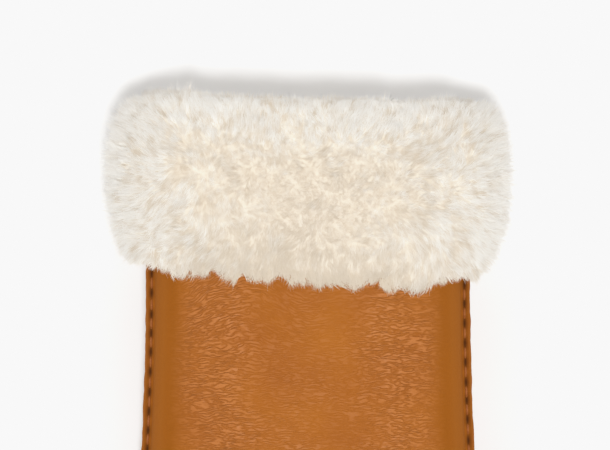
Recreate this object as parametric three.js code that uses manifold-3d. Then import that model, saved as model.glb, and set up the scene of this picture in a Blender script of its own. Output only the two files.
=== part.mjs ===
// A leather mitten with a turned-back shearling cuff, lying with its palm down.
// Millimetres, +Z up. The origin is on the flat of the palm that rests on the surface.
// +Y runs to the open mouth, -Y to the fingertips, and +X to the thumb.
import * as THREE from "three";
import { mergeVertices } from "three/addons/utils/BufferGeometryUtils.js";
import Module from "manifold-3d";

// Outline of the two leather panels, seen from above
const REST_TO_HEM = 115; // from the origin to the hem of the cuff
const HAND_LENGTH = 228; // hem of the cuff to the fingertip edge
const CUFF_HEIGHT = 58; // hem of the cuff to the mouth edge of the leather
const WRIST_WIDTH = 109.5;
const PALM_WIDTH = 118;
const FINGER_ROUND = 0.51 * PALM_WIDTH; // depth of the rounded fingertip end
const FINGER_FULLNESS = 2.3; // 2 is an ellipse, more is squarer
const THUMB_WIDTH = 47;
const THUMB_LENGTH = 64; // crotch to thumb tip
const THUMB_ANGLE = THREE.MathUtils.degToRad(46); // from -Y towards +X
const CROTCH_BELOW_HEM = 0.605 * HAND_LENGTH;
const CROTCH_ROUND = 9;
const THUMB_ROOT_ROUND = 15;
const WEB = 0.25; // how widely the thumb's form runs into the hand's

// Leather, seam and wool
const LEATHER = 1.4;
const FLANGE = 3; // the two edges that stand out past the stitches
const SEAM_GAP = 0.3; // between the two layers of the seam
const LINING_START = 1.2; // from the leather at the stitches to the wool's edge
const LINING_GAP = 0.45; // between leather and wool
const LINING_PILE = 6;

// Heights above the surface that the mitten lies on
const WRIST_SEAM = 27;
const HAND_SEAM = 16;
const TIP_SEAM = 12;
const CUFF_LIFT = 10; // the wool under the wrist holds it up
const WRIST_CROWN = 17; // the back's crown above the seam
const HAND_CROWN = 20;
const TIP_CROWN = 17;
const THUMB_CROWN = 16;
const SIDE_FULLNESS = 2.2; // 1 rises straight from the seam, more rises steeply
const SOLE_SPREAD = 1.25; // over 1, the underside lies flat

// Wool cuff
const CUFF_GAP = 0.4; // between the leather and the cuff's own skin
const FUR_SIDE = 12; // pile beyond the seam edge, without the locks
const FUR_TOP = 10;
const FUR_LIP = 5; // pile past the mouth edge
const FUR_FULLNESS = 2.3;
const FUR_SIDES = 26;
const LOCK_LENGTH = 12.5;
const LOCK_WIDTH = 20;
const LOCK_SINK = 8; // the root of a lock, inside the pile
const LOCK_SIDES = 5;
const LOCKS_AROUND = 12;
const LOCK_SEED = 16;

const HEM_Y = REST_TO_HEM;
const MOUTH_Y = HEM_Y + CUFF_HEIGHT;
const WRIST_Y = HEM_Y - 0.25 * HAND_LENGTH;
const PALM_Y = HEM_Y - 0.5 * HAND_LENGTH;
const KNUCKLE_Y = HEM_Y - 0.8 * HAND_LENGTH;
const TIP_Y = HEM_Y - HAND_LENGTH;
const TIP_CENTRE_Y = TIP_Y + FINGER_ROUND;

// Side view: where the seam, the underside and the crown lie at each place along the mitten
const PLACES = [
  { place: "mouth", y: MOUTH_Y, seam: WRIST_SEAM, sole: CUFF_LIFT, crown: WRIST_CROWN },
  { place: "hem", y: HEM_Y, seam: WRIST_SEAM, sole: CUFF_LIFT, crown: WRIST_CROWN },
  { place: "wrist", y: WRIST_Y, seam: 1.2 * HAND_SEAM, sole: 0, crown: 0.93 * HAND_CROWN },
  { place: "palm", y: PALM_Y, seam: HAND_SEAM, sole: 0, crown: HAND_CROWN },
  { place: "knuckles", y: KNUCKLE_Y, seam: 0.92 * HAND_SEAM, sole: 0, crown: 0.97 * HAND_CROWN },
  { place: "tip", y: TIP_Y, seam: TIP_SEAM, sole: 0, crown: TIP_CROWN },
];

// Outer form of the wool: along is a share of the cuff's height, out a share of the pile
const FUR_PROFILE = [
  { along: 0, out: 0.15 },
  { along: 0.1, out: 0.38 },
  { along: 0.22, out: 0.68 },
  { along: 0.36, out: 0.9 },
  { along: 0.52, out: 1.0 },
  { along: 0.68, out: 1.0 },
  { along: 0.82, out: 0.96 },
  { along: 0.94, out: 0.84 },
  { along: 1.02, out: 0.66 },
  { along: 1 + 0.8 * (FUR_LIP / CUFF_HEIGHT), out: 0.4 },
  { along: 1 + FUR_LIP / CUFF_HEIGHT, out: -0.1 },
];

// Rows of locks: lean is along the cuff, under 0 to the hem and over 0 to the mouth
const LOCK_ROWS = [
  { along: 0.09, lean: -1.5, size: 0.75 },
  { along: 0.27, lean: -0.9, size: 0.95 },
  { along: 0.48, lean: -0.3, size: 1.0 },
  { along: 0.69, lean: 0.2, size: 1.0 },
  { along: 0.88, lean: 0.7, size: 0.9 },
  { along: 1.01, lean: 1.6, size: 0.65 },
];

// Shares of the way from the stitches to the middle of the hand and of the thumb
const BODY_SHARES = [0, 0.06, 0.15, 0.3, 0.55, 1];
const THUMB_SHARES = [0, 0.16, 0.45, 1];

const { lerp, smoothstep, clamp } = THREE.MathUtils;
const steps = (count, from, to) => Array.from({ length: count + 1 }, (_, i) => lerp(from, to, i / count));

// A value of the side view at y, on a smooth curve through the table's rows
function placed(column, y) {
  const last = PLACES.length - 1;
  const at = clamp(y, PLACES[last].y, PLACES[0].y);
  const i = clamp(PLACES.findIndex((row) => row.y <= at) - 1, 0, last - 1);
  const slope = (k) => (PLACES[k + 1][column] - PLACES[k][column]) / (PLACES[k + 1].y - PLACES[k].y);
  const flat = (k) => k === 0 || k === last || slope(k - 1) * slope(k) <= 0;
  const tangent = (k) => (flat(k) ? 0 : 2 / (1 / slope(k - 1) + 1 / slope(k)));
  const span = PLACES[i + 1].y - PLACES[i].y;
  const t = (at - PLACES[i].y) / span;
  const ends = (1 + 2 * t) * (1 - t) ** 2 * PLACES[i][column] + t * t * (3 - 2 * t) * PLACES[i + 1][column];
  return ends + span * (t * (1 - t) ** 2 * tangent(i) - t * t * (1 - t) * tangent(i + 1));
}

const WIDEN_OVER = 0.55 * HAND_LENGTH; // from wrist width to palm width
const halfWidth = (y) => lerp(WRIST_WIDTH, PALM_WIDTH, smoothstep(HEM_Y - y, 0, WIDEN_OVER)) / 2;

// The thumb is a band with a round end
const THUMB_RADIUS = THUMB_WIDTH / 2;
const CROTCH_Y = HEM_Y - CROTCH_BELOW_HEM;
const CROTCH = new THREE.Vector2(halfWidth(CROTCH_Y), CROTCH_Y);
const THUMB_AXIS = new THREE.Vector2(Math.sin(THUMB_ANGLE), -Math.cos(THUMB_ANGLE));
const THUMB_ACROSS = new THREE.Vector2(Math.cos(THUMB_ANGLE), Math.sin(THUMB_ANGLE));
const THUMB_TIP = CROTCH.clone()
  .addScaledVector(THUMB_AXIS, THUMB_LENGTH - THUMB_RADIUS)
  .addScaledVector(THUMB_ACROSS, THUMB_RADIUS);
const THUMB_ROOT_Y = CROTCH_Y + THUMB_WIDTH / Math.sin(THUMB_ANGLE);
const THUMB_ROOT = new THREE.Vector2(halfWidth(THUMB_ROOT_Y), THUMB_ROOT_Y);
const ROOT_START_Y = THUMB_ROOT_Y + THUMB_ROOT_ROUND;
const WRIST_ROWS = steps(5, HEM_Y, ROOT_START_Y);

// Shares of the way from the edge to the middle, in the hand and in the thumb, and how much thumb there is
function shares(x, y, edge) {
  const across = Math.abs(x) / (halfWidth(y) - edge);
  const down = Math.max(0, TIP_CENTRE_Y - y) / (FINGER_ROUND - edge);
  const hand = 1 - (across ** FINGER_FULLNESS + down ** FINGER_FULLNESS) ** (1 / FINGER_FULLNESS);
  const from = new THREE.Vector2(x, y).sub(THUMB_TIP);
  const beyond = from.dot(THUMB_AXIS);
  const thumb = 1 - Math.hypot(from.dot(THUMB_ACROSS), Math.max(0, beyond)) / (THUMB_RADIUS - edge);
  const amount = 1 - smoothstep(-beyond, THUMB_LENGTH, 2 * THUMB_LENGTH);
  const web = (WEB / 4) * Math.max(0, 1 - Math.abs(hand - thumb) / WEB) ** 2 * amount;
  return { hand: hand + web, thumb: thumb + web, amount };
}

// How far a side has risen at a share of the way in, and a little under 0 outside the edge
const DIP = 3;
const rise = (share) =>
  share < 0 ? DIP * share : (1 - (1 - Math.min(1, share)) ** SIDE_FULLNESS) ** (1 / SIDE_FULLNESS);
const BLEND = 6; // how closely two forms that meet follow the higher one
const power = (value) => Math.max(0, value) ** BLEND;
const higher = (a, b) => (Math.max(a, b) <= 0 ? Math.max(a, b) : (power(a) + power(b)) ** (1 / BLEND));

// Each skin has its edge inside the outline, its lift from the seam, and its drop from the leather's hollow
const HALF_GAP = SEAM_GAP / 2;
const WALL = HALF_GAP + LEATHER;
const LINING_EDGE = FLANGE + LEATHER + LINING_START;
const LINING_DROP = LINING_GAP - HALF_GAP;
const OUTSIDE = { edge: FLANGE, lift: WALL, drop: 0, least: 0 };
const INSIDE = { edge: FLANGE + LEATHER, lift: HALF_GAP, drop: 0, least: 0 };
const POCKET = { edge: FLANGE - CUFF_GAP, lift: WALL + CUFF_GAP, drop: 0, least: 0 };
const WOOL = { edge: LINING_EDGE, lift: 0, drop: LINING_DROP, least: -1 };
const HOLLOW = { edge: LINING_EDGE + LINING_PILE, lift: 0, drop: LINING_DROP + LINING_PILE, least: -1 };

function backHeight(skin, x, y) {
  const { hand, thumb, amount } = shares(x, y, skin.edge);
  const handHeight = (placed("crown", y) - WALL - skin.drop) * rise(hand);
  const thumbHeight = (THUMB_CROWN - WALL - skin.drop) * rise(thumb) * (thumb < 0 ? 1 : amount);
  const height = higher(handHeight, thumbHeight);
  return placed("seam", y) + skin.lift + Math.max(skin.least * WALL, height);
}

function soleHeight(skin, x, y) {
  const { hand, thumb, amount } = shares(x, y, skin.edge);
  const spread = Math.min(1, SOLE_SPREAD * higher(rise(hand), rise(thumb) * (thumb < 0 ? 1 : amount)));
  const depth = placed("seam", y) - placed("sole", y) - WALL - skin.drop;
  return placed("seam", y) - skin.lift - Math.max(skin.least * WALL, depth * spread);
}

const vector = (x, y) => new THREE.Vector2(x, y);
const side = (y) => vector(halfWidth(y), y);

// Points on the way from the rim to a middle: the rim, the stitches and shares of the rest
function inward(rim, middle, restShares) {
  const length = rim.distanceTo(middle);
  const distances = [0, ...restShares.map((share) => FLANGE + share * (length - FLANGE))];
  return distances.map((distance) => rim.clone().lerp(middle, distance / length));
}

const across = (from, to) => {
  const middle = from.clone().lerp(to, 0.5);
  return [...inward(from, middle, THUMB_SHARES), ...inward(to, middle, THUMB_SHARES).slice(0, -1).reverse()];
};

// Plan of the mitten from a mouth line to the fingertips: grids of points, each strip from the rim inward
function mittenPlan(mouthY) {
  const rootEnd = THUMB_ROOT.clone().addScaledVector(THUMB_AXIS, THUMB_ROOT_ROUND);
  const crotchStart = CROTCH.clone().addScaledVector(THUMB_AXIS, CROTCH_ROUND);
  const root = new THREE.QuadraticBezierCurve(side(ROOT_START_Y), THUMB_ROOT, rootEnd);
  const crotch = new THREE.QuadraticBezierCurve(crotchStart, CROTCH, side(CROTCH_Y - CROTCH_ROUND));
  const chord = across(crotch.getPoint(0.5), root.getPoint(0.5));

  const ends = [
    ...steps(2, mouthY, HEM_Y).map(side),
    ...WRIST_ROWS.slice(1).map(side),
    root.getPoint(0.25),
    ...chord.slice().reverse(),
    crotch.getPoint(0.75),
    ...steps(3, crotch.v2.y, TIP_CENTRE_Y).map(side),
  ];
  const right = ends.map((end) => inward(end, vector(0, end.y), BODY_SHARES));
  const left = ends.map((end) => inward(vector(-halfWidth(end.y), end.y), vector(0, end.y), BODY_SHARES));

  const fullness = 2 / FINGER_FULLNESS;
  const tip = steps(12, 0, Math.PI).map((angle) => {
    const sideways = Math.sign(Math.cos(angle)) * Math.abs(Math.cos(angle)) ** fullness;
    const down = Math.sin(angle) ** fullness;
    const onOval = (width, depth) => vector(width * sideways, TIP_CENTRE_Y - depth * down);
    const width = halfWidth(TIP_CENTRE_Y);
    const stitched = [width - FLANGE, FINGER_ROUND - FLANGE];
    const rest = BODY_SHARES.map((share) => onOval(...stitched.map((reach) => reach * (1 - share))));
    return [onOval(width, FINGER_ROUND), ...rest];
  });

  const thumbIn = THUMB_TIP.clone().addScaledVector(THUMB_ACROSS, -THUMB_RADIUS);
  const thumbOut = THUMB_TIP.clone().addScaledVector(THUMB_ACROSS, THUMB_RADIUS);
  const thumb = steps(3, 0, 1).map((t) => {
    return across(crotchStart.clone().lerp(thumbIn, t), rootEnd.clone().lerp(thumbOut, t));
  });
  const cap = steps(8, Math.PI, 2 * Math.PI).map((angle) => {
    const rim = THUMB_TIP.clone()
      .addScaledVector(THUMB_ACROSS, THUMB_RADIUS * Math.cos(angle))
      .addScaledVector(THUMB_AXIS, -THUMB_RADIUS * Math.sin(angle));
    return inward(rim, THUMB_TIP, THUMB_SHARES);
  });
  return joined([left, right, tip, [chord, ...thumb], cap]);
}

// Plan of the pocket in the cuff that the leather wrist sits in
function wristPlan(rowsY) {
  const row = (y) => {
    const [, ...inner] = inward(side(y), vector(0, y), BODY_SHARES);
    return [vector(halfWidth(y) + CUFF_GAP, y), ...inner];
  };
  const right = rowsY.map(row);
  const left = right.map((strip) => strip.map((point) => vector(-point.x, point.y)));
  return joined([left, right]);
}

// One list of points and of upward triangles, from grids that share their border points
function joined(grids) {
  const plan = { points: [], triangles: [] };
  const known = new Map();
  const indexOf = (point) => {
    const key = `${Math.round(point.x * 1e4)},${Math.round(point.y * 1e4)}`;
    if (!known.has(key)) {
      known.set(key, plan.points.length);
      plan.points.push(point);
    }
    return known.get(key);
  };
  const add = (...corners) => {
    const [a, b, c] = corners.map((point) => indexOf(point));
    const [ab, ac] = [b, c].map((corner) => plan.points[corner].clone().sub(plan.points[a]));
    const area = ab.cross(ac);
    if (Math.abs(area) > 1e-6) plan.triangles.push(area > 0 ? [a, b, c] : [a, c, b]);
  };
  for (const grid of grids) {
    for (let i = 1; i < grid.length; i += 1) {
      for (let j = 1; j < grid[i].length; j += 1) {
        const [a, b, c, d] = [grid[i - 1][j - 1], grid[i - 1][j], grid[i][j], grid[i][j - 1]];
        if (a.distanceTo(c) < b.distanceTo(d)) {
          add(a, b, c);
          add(a, c, d);
        } else {
          add(a, b, d);
          add(b, c, d);
        }
      }
    }
  }
  return plan;
}

// Closed solid over a plan, between an upper and an under height
function between(plan, upper, under) {
  const count = plan.points.length;
  const lifted = (height) => plan.points.map(({ x, y }) => [x, y, height(x, y)]);
  const heights = [lifted(upper), lifted(under)];
  const index = plan.triangles.flatMap(([a, b, c]) => [a, b, c, count + a, count + c, count + b]);
  const directed = new Set(plan.triangles.flatMap(([a, b, c]) => [`${a},${b}`, `${b},${c}`, `${c},${a}`]));
  for (const edge of directed) {
    const [a, b] = edge.split(",").map(Number);
    if (!directed.has(`${b},${a}`)) index.push(b, a, count + a, b, count + a, count + b);
  }
  const geometry = new THREE.BufferGeometry();
  geometry.setAttribute("position", new THREE.Float32BufferAttribute(heights.flat(2), 3));
  geometry.setIndex(index);
  return geometry;
}

const wasm = await Module();
wasm.setup();

function toSolid(geometry) {
  const bare = new THREE.BufferGeometry();
  bare.setAttribute("position", geometry.getAttribute("position"));
  bare.setIndex(geometry.getIndex());
  const merged = mergeVertices(bare, 1e-4);
  const vertProperties = new Float32Array(merged.getAttribute("position").array);
  const corners = [...merged.getIndex().array];
  const whole = (i) => new Set(corners.slice(i, i + 3)).size === 3;
  const triVerts = new Uint32Array(corners.filter((_, i) => whole(i - (i % 3))));
  return new wasm.Manifold(new wasm.Mesh({ numProp: 3, vertProperties, triVerts }));
}

function toGeometry(solid) {
  const mesh = solid.getMesh();
  const geometry = new THREE.BufferGeometry();
  geometry.setAttribute("position", new THREE.BufferAttribute(mesh.vertProperties, 3));
  geometry.setIndex(new THREE.BufferAttribute(mesh.triVerts, 1));
  return geometry;
}

const ROOM = PALM_WIDTH; // height of the blocks that the pillows are cut from

// The closed pillow inside a skin, up to a mouth line
function pillow(skin, mouthY) {
  const plan = mittenPlan(mouthY);
  const belowBack = between(plan, (x, y) => backHeight(skin, x, y), () => -ROOM);
  const aboveSole = between(plan, () => ROOM, (x, y) => soleHeight(skin, x, y));
  return toSolid(belowBack).intersect(toSolid(aboveSole));
}

// Closed tube through rings of points, with a fan at each end
function loft(rings) {
  const sides = rings[0].length;
  const ends = [rings[0], rings[rings.length - 1]].map((ring) => {
    const middle = new THREE.Vector3();
    ring.forEach((point) => middle.addScaledVector(point, 1 / sides));
    return middle;
  });
  const points = [...rings.flat(), ...ends];
  const positions = points.flatMap((point) => point.toArray());
  const index = [];
  const lastRing = (rings.length - 1) * sides;
  for (let j = 0; j < sides; j += 1) {
    const next = (j + 1) % sides;
    for (let i = 0; i < lastRing; i += sides) {
      index.push(i + j, i + next, i + sides + next, i + j, i + sides + next, i + sides + j);
    }
    index.push(points.length - 2, next, j, points.length - 1, lastRing + j, lastRing + next);
  }
  const geometry = new THREE.BufferGeometry();
  geometry.setAttribute("position", new THREE.Float32BufferAttribute(positions, 3));
  geometry.setIndex(index);
  return geometry;
}

// A point of the wool's outer form; around runs from the thumb side over the back
function furPoint(along, out, around) {
  const power = 2 / FUR_FULLNESS;
  const up = Math.sin(around) >= 0;
  const height = up ? WRIST_CROWN : WRIST_SEAM - CUFF_LIFT;
  const reach = (value) => Math.sign(value) * Math.abs(value) ** power;
  return new THREE.Vector3(
    (WRIST_WIDTH / 2 + FUR_SIDE * out) * reach(Math.cos(around)),
    HEM_Y + along * CUFF_HEIGHT,
    WRIST_SEAM + (height + FUR_TOP * out) * reach(Math.sin(around)),
  );
}

function furOut(along) {
  const i = clamp(FUR_PROFILE.findIndex((row) => row.along >= along), 1, FUR_PROFILE.length - 1);
  const [a, b] = [FUR_PROFILE[i - 1], FUR_PROFILE[i]];
  return lerp(a.out, b.out, (along - a.along) / (b.along - a.along));
}

// A curved, tapered lock of wool from its root inside the pile to its tip
function lock(root, out, lean, length, width) {
  const tip = out.clone().addScaledVector(lean, 1).normalize();
  const sideways = new THREE.Vector3().crossVectors(out, new THREE.Vector3(0, 1, 0)).normalize();
  const stages = [
    { at: 0, size: 1.05 },
    { at: 0.65, size: 0.85 },
    { at: 1, size: 0.3 },
  ];
  const rings = stages.map(({ at, size }) => {
    const heading = out.clone().lerp(tip, at).normalize();
    const centre = root.clone().addScaledVector(heading, at * length);
    const upward = new THREE.Vector3().crossVectors(sideways, heading).normalize();
    return Array.from({ length: LOCK_SIDES }, (_, k) => {
      const turn = (2 * Math.PI * k) / LOCK_SIDES;
      return centre.clone()
        .addScaledVector(sideways, (-size * width * Math.cos(turn)) / 2)
        .addScaledVector(upward, (size * width * Math.sin(turn)) / 2);
    });
  });
  return loft(rings);
}

function randomFrom(seed) {
  let state = seed;
  return () => {
    state = (state * 16807) % 2147483647;
    return state / 2147483647;
  };
}

function furCuff() {
  const turns = steps(FUR_SIDES, 2 * Math.PI, 0).slice(1);
  const form = FUR_PROFILE.map(({ along, out }) => turns.map((around) => furPoint(along, out, around)));
  let cuff = toSolid(loft(form));
  const random = randomFrom(LOCK_SEED);
  const spread = (amount) => amount * (2 * random() - 1);
  LOCK_ROWS.forEach(({ along, lean, size }, rowNumber) => {
    for (let k = 0; k < LOCKS_AROUND; k += 1) {
      const around = (2 * Math.PI * (k + (rowNumber % 2) / 2 + spread(0.22))) / LOCKS_AROUND;
      const at = along + spread(0.03);
      const surface = furPoint(at, furOut(at), around);
      const out = surface.clone().sub(new THREE.Vector3(0.6 * surface.x, surface.y, WRIST_SEAM)).normalize();
      const root = surface.clone().addScaledVector(out, -LOCK_SINK);
      const direction = new THREE.Vector3(spread(0.35), lean + spread(0.25), 0);
      const grown = size * (1 + spread(0.15));
      cuff = cuff.add(toSolid(lock(root, out, direction, grown * LOCK_LENGTH, grown * LOCK_WIDTH)));
    }
  });
  const pocket = between(
    wristPlan([MOUTH_Y + CUFF_GAP, ...WRIST_ROWS.slice(0, 3)]),
    (x, y) => backHeight(POCKET, x, y),
    (x, y) => soleHeight(POCKET, x, y),
  );
  const ground = new THREE.BoxGeometry(2 * WRIST_WIDTH, 4 * CUFF_HEIGHT, ROOM);
  ground.translate(0, HEM_Y, -ROOM / 2);
  const hollow = pillow(HOLLOW, MOUTH_Y + CUFF_HEIGHT);
  return cuff.subtract(toSolid(pocket)).subtract(hollow).subtract(toSolid(ground));
}

// All that lies on one side of the seam: sign 1 is the back's side, -1 the palm's
function seamBlock(sign) {
  const wide = 2 * PALM_WIDTH;
  const ends = [MOUTH_Y + CUFF_HEIGHT, ...PLACES.map(({ y }) => y)];
  const rows = ends.map((y) => [vector(-wide, y), vector(wide, y)]);
  const edge = (x, y) => placed("seam", y) + sign * HALF_GAP;
  const far = (x, y) => edge(x, y) + sign * ROOM;
  return toSolid(sign > 0 ? between(joined([rows]), far, edge) : between(joined([rows]), edge, far));
}

const plan = mittenPlan(MOUTH_Y);
const backPanel = between(plan, (x, y) => backHeight(OUTSIDE, x, y), (x, y) => backHeight(INSIDE, x, y));
const palmPanel = between(plan, (x, y) => soleHeight(INSIDE, x, y), (x, y) => soleHeight(OUTSIDE, x, y));
const lining = pillow(WOOL, MOUTH_Y).subtract(pillow(HOLLOW, MOUTH_Y + CUFF_HEIGHT));
const liningBack = lining.intersect(seamBlock(1));
const liningPalm = lining.intersect(seamBlock(-1));

const group = new THREE.Group();
group.name = "leather_mitten";
const addPiece = (name, geometry, color, roughness) => {
  const mesh = new THREE.Mesh(geometry, new THREE.MeshStandardMaterial({ color, roughness }));
  mesh.name = name;
  group.add(mesh);
};
addPiece("back_panel", backPanel, "#b36b2d", 0.55);
addPiece("palm_panel", palmPanel, "#b36b2d", 0.55);
addPiece("lining_back", toGeometry(liningBack), "#e9dfce", 0.95);
addPiece("lining_palm", toGeometry(liningPalm), "#e9dfce", 0.95);
addPiece("fur_cuff", toGeometry(furCuff()), "#e9dfce", 0.95);

export default group;
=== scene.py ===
import math

import bmesh
import bpy
import numpy as np
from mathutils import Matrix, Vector
from mathutils.kdtree import KDTree


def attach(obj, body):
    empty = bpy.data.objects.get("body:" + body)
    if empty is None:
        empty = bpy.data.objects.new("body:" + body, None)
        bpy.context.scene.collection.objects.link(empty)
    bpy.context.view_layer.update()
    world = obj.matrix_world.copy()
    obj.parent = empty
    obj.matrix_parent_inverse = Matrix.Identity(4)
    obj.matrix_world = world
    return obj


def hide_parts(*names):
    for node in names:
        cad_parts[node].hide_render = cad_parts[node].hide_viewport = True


# A leather mitten with a turned-back shearling cuff, lying with its palm down.
# Metres, +Z up; +Y runs to the open mouth, +X to the thumb. The sizes below are in millimetres.

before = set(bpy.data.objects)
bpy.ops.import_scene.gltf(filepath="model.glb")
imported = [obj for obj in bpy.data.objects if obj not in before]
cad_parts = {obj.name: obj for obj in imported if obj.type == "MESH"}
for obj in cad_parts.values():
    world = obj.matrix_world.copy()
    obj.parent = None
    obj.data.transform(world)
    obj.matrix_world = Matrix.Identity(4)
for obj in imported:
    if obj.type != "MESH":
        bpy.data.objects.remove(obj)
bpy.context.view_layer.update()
for item in list(bpy.context.selected_objects):
    item.select_set(False)

MM = 0.001
SEED = 5

# Outline of the leather, the same sizes as the solids
REST_TO_HEM = 115.0
HAND_LENGTH = 228.0
CUFF_HEIGHT = 58.0
WRIST_WIDTH = 109.5
PALM_WIDTH = 118.0
FINGER_ROUND = 0.51 * PALM_WIDTH
FINGER_FULLNESS = 2.3
THUMB_WIDTH = 47.0
THUMB_LENGTH = 64.0
THUMB_ANGLE = math.radians(46)
CROTCH_BELOW_HEM = 0.605 * HAND_LENGTH
CROTCH_ROUND = 9.0
THUMB_ROOT_ROUND = 15.0
WEB = 0.25
LEATHER = 1.4
FLANGE = 3.0
SEAM_GAP = 0.3
LINING_START = 1.2
LINING_GAP = 0.45
LINING_PILE = 6.0
WRIST_SEAM = 27.0
HAND_SEAM = 16.0
TIP_SEAM = 12.0
CUFF_LIFT = 10.0
WRIST_CROWN = 17.0
HAND_CROWN = 20.0
TIP_CROWN = 17.0
THUMB_CROWN = 16.0
SIDE_FULLNESS = 2.2
SOLE_SPREAD = 1.25
FUR_SIDE = 12.0
FUR_TOP = 10.0
FUR_LIP = 5.0
FUR_FULLNESS = 2.3

HEM_Y = REST_TO_HEM
MOUTH_Y = HEM_Y + CUFF_HEIGHT
TIP_Y = HEM_Y - HAND_LENGTH
TIP_CENTRE_Y = TIP_Y + FINGER_ROUND
WALL = SEAM_GAP / 2 + LEATHER
LINING_EDGE = FLANGE + LEATHER + LINING_START
CUFF_CENTRE = np.array([0.0, HEM_Y + 0.5 * CUFF_HEIGHT, WRIST_SEAM])

# Side view: y, then the heights of the seam and the underside, and the crown above the seam
PLACES = np.array([
    (TIP_Y, TIP_SEAM, 0.0, TIP_CROWN),
    (HEM_Y - 0.8 * HAND_LENGTH, 0.92 * HAND_SEAM, 0.0, 0.97 * HAND_CROWN),
    (HEM_Y - 0.5 * HAND_LENGTH, HAND_SEAM, 0.0, HAND_CROWN),
    (HEM_Y - 0.25 * HAND_LENGTH, 1.2 * HAND_SEAM, 0.0, 0.93 * HAND_CROWN),
    (HEM_Y, WRIST_SEAM, CUFF_LIFT, WRIST_CROWN),
    (MOUTH_Y, WRIST_SEAM, CUFF_LIFT, WRIST_CROWN),
])
SEAM, SOLE, CROWN = 1, 2, 3

# Outer form of the wool: share of the cuff's height, share of the pile
FUR_PROFILE = np.array([
    (-0.03, 0.1), (0.0, 0.15), (0.1, 0.38), (0.22, 0.68), (0.36, 0.9), (0.52, 1.0), (0.68, 1.0), (0.82, 0.96),
    (0.94, 0.84), (1.02, 0.66), (1 + 0.8 * FUR_LIP / CUFF_HEIGHT, 0.4), (1 + FUR_LIP / CUFF_HEIGHT, -0.1),
])


# Shape of the mitten

def smooth(value, low, high):
    t = np.clip((value - low) / (high - low), 0, 1)
    return t * t * (3 - 2 * t)


def placed(column, y):
    """Height from the side view at y, on a monotone cubic through the rows."""
    rows_y, rows_v = PLACES[:, 0], PLACES[:, column]
    slope = np.diff(rows_v) / np.diff(rows_y)
    product = slope[:-1] * slope[1:]
    inner = np.where(product > 0, 2 * product / (slope[:-1] + slope[1:] + 1e-12), 0)
    tangent = np.concatenate([[0], inner, [0]])
    at = np.clip(y, rows_y[0], rows_y[-1])
    i = np.clip(np.searchsorted(rows_y, at, side="right") - 1, 0, len(rows_y) - 2)
    span = rows_y[i + 1] - rows_y[i]
    t = (at - rows_y[i]) / span
    return ((1 + 2 * t) * (1 - t) ** 2 * rows_v[i] + t * t * (3 - 2 * t) * rows_v[i + 1]
            + span * (t * (1 - t) ** 2 * tangent[i] - t * t * (1 - t) * tangent[i + 1]))


def half_width(y):
    widened = smooth(HEM_Y - np.asarray(y, float), 0, 0.55 * HAND_LENGTH)
    return (WRIST_WIDTH + (PALM_WIDTH - WRIST_WIDTH) * widened) / 2


THUMB_RADIUS = THUMB_WIDTH / 2
CROTCH_Y = HEM_Y - CROTCH_BELOW_HEM
THUMB_ROOT_Y = CROTCH_Y + THUMB_WIDTH / math.sin(THUMB_ANGLE)
CROTCH = np.array([half_width(CROTCH_Y), CROTCH_Y])
THUMB_ROOT = np.array([half_width(THUMB_ROOT_Y), THUMB_ROOT_Y])
THUMB_AXIS = np.array([math.sin(THUMB_ANGLE), -math.cos(THUMB_ANGLE)])
THUMB_ACROSS = np.array([math.cos(THUMB_ANGLE), math.sin(THUMB_ANGLE)])
THUMB_TIP = CROTCH + THUMB_AXIS * (THUMB_LENGTH - THUMB_RADIUS) + THUMB_ACROSS * THUMB_RADIUS


def shares(x, y, edge):
    """Share of the way in from the edge, for the hand and the thumb, and how much thumb there is."""
    across = np.abs(x) / (half_width(y) - edge)
    down = np.maximum(0, TIP_CENTRE_Y - y) / (FINGER_ROUND - edge)
    hand = 1 - (across ** FINGER_FULLNESS + down ** FINGER_FULLNESS) ** (1 / FINGER_FULLNESS)
    beyond = (x - THUMB_TIP[0]) * THUMB_AXIS[0] + (y - THUMB_TIP[1]) * THUMB_AXIS[1]
    sideways = (x - THUMB_TIP[0]) * THUMB_ACROSS[0] + (y - THUMB_TIP[1]) * THUMB_ACROSS[1]
    thumb = 1 - np.hypot(sideways, np.maximum(0, beyond)) / (THUMB_RADIUS - edge)
    amount = 1 - smooth(-beyond, THUMB_LENGTH, 2 * THUMB_LENGTH)
    web = WEB / 4 * np.maximum(0, 1 - np.abs(hand - thumb) / WEB) ** 2 * amount
    return hand + web, thumb + web, amount


def rise(share):
    return (1 - (1 - np.clip(share, 0, 1)) ** SIDE_FULLNESS) ** (1 / SIDE_FULLNESS)


def back_rise(x, y, edge, drop):
    hand, thumb, amount = shares(x, y, edge)
    hand_height = (placed(CROWN, y) - WALL - drop) * rise(hand)
    thumb_height = (THUMB_CROWN - WALL - drop) * rise(thumb) * amount
    return (hand_height ** 6 + thumb_height ** 6) ** (1 / 6)


def sole_fall(x, y, edge, drop):
    hand, thumb, amount = shares(x, y, edge)
    spread = (rise(hand) ** 6 + (rise(thumb) * amount) ** 6) ** (1 / 6)
    depth = placed(SEAM, y) - placed(SOLE, y) - WALL - drop
    return depth * np.minimum(1, SOLE_SPREAD * spread)


# Helpers for meshes

# Ways from a cube's middle to the middles of its twelve edges
EVERY_WAY = np.indices((3, 3, 3)).reshape(3, -1).T - 1.0
GRADIENTS = EVERY_WAY[np.abs(EVERY_WAY).sum(-1) == 2]

# Large odd numbers and the shifts that scatter the cells of the noise
CELL_MIX = np.array([73856093, 19349663, 83492791])
SEED_MIX = 2654435761
MIXING = ((13, 1274126177), (15, 2246822519))


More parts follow.
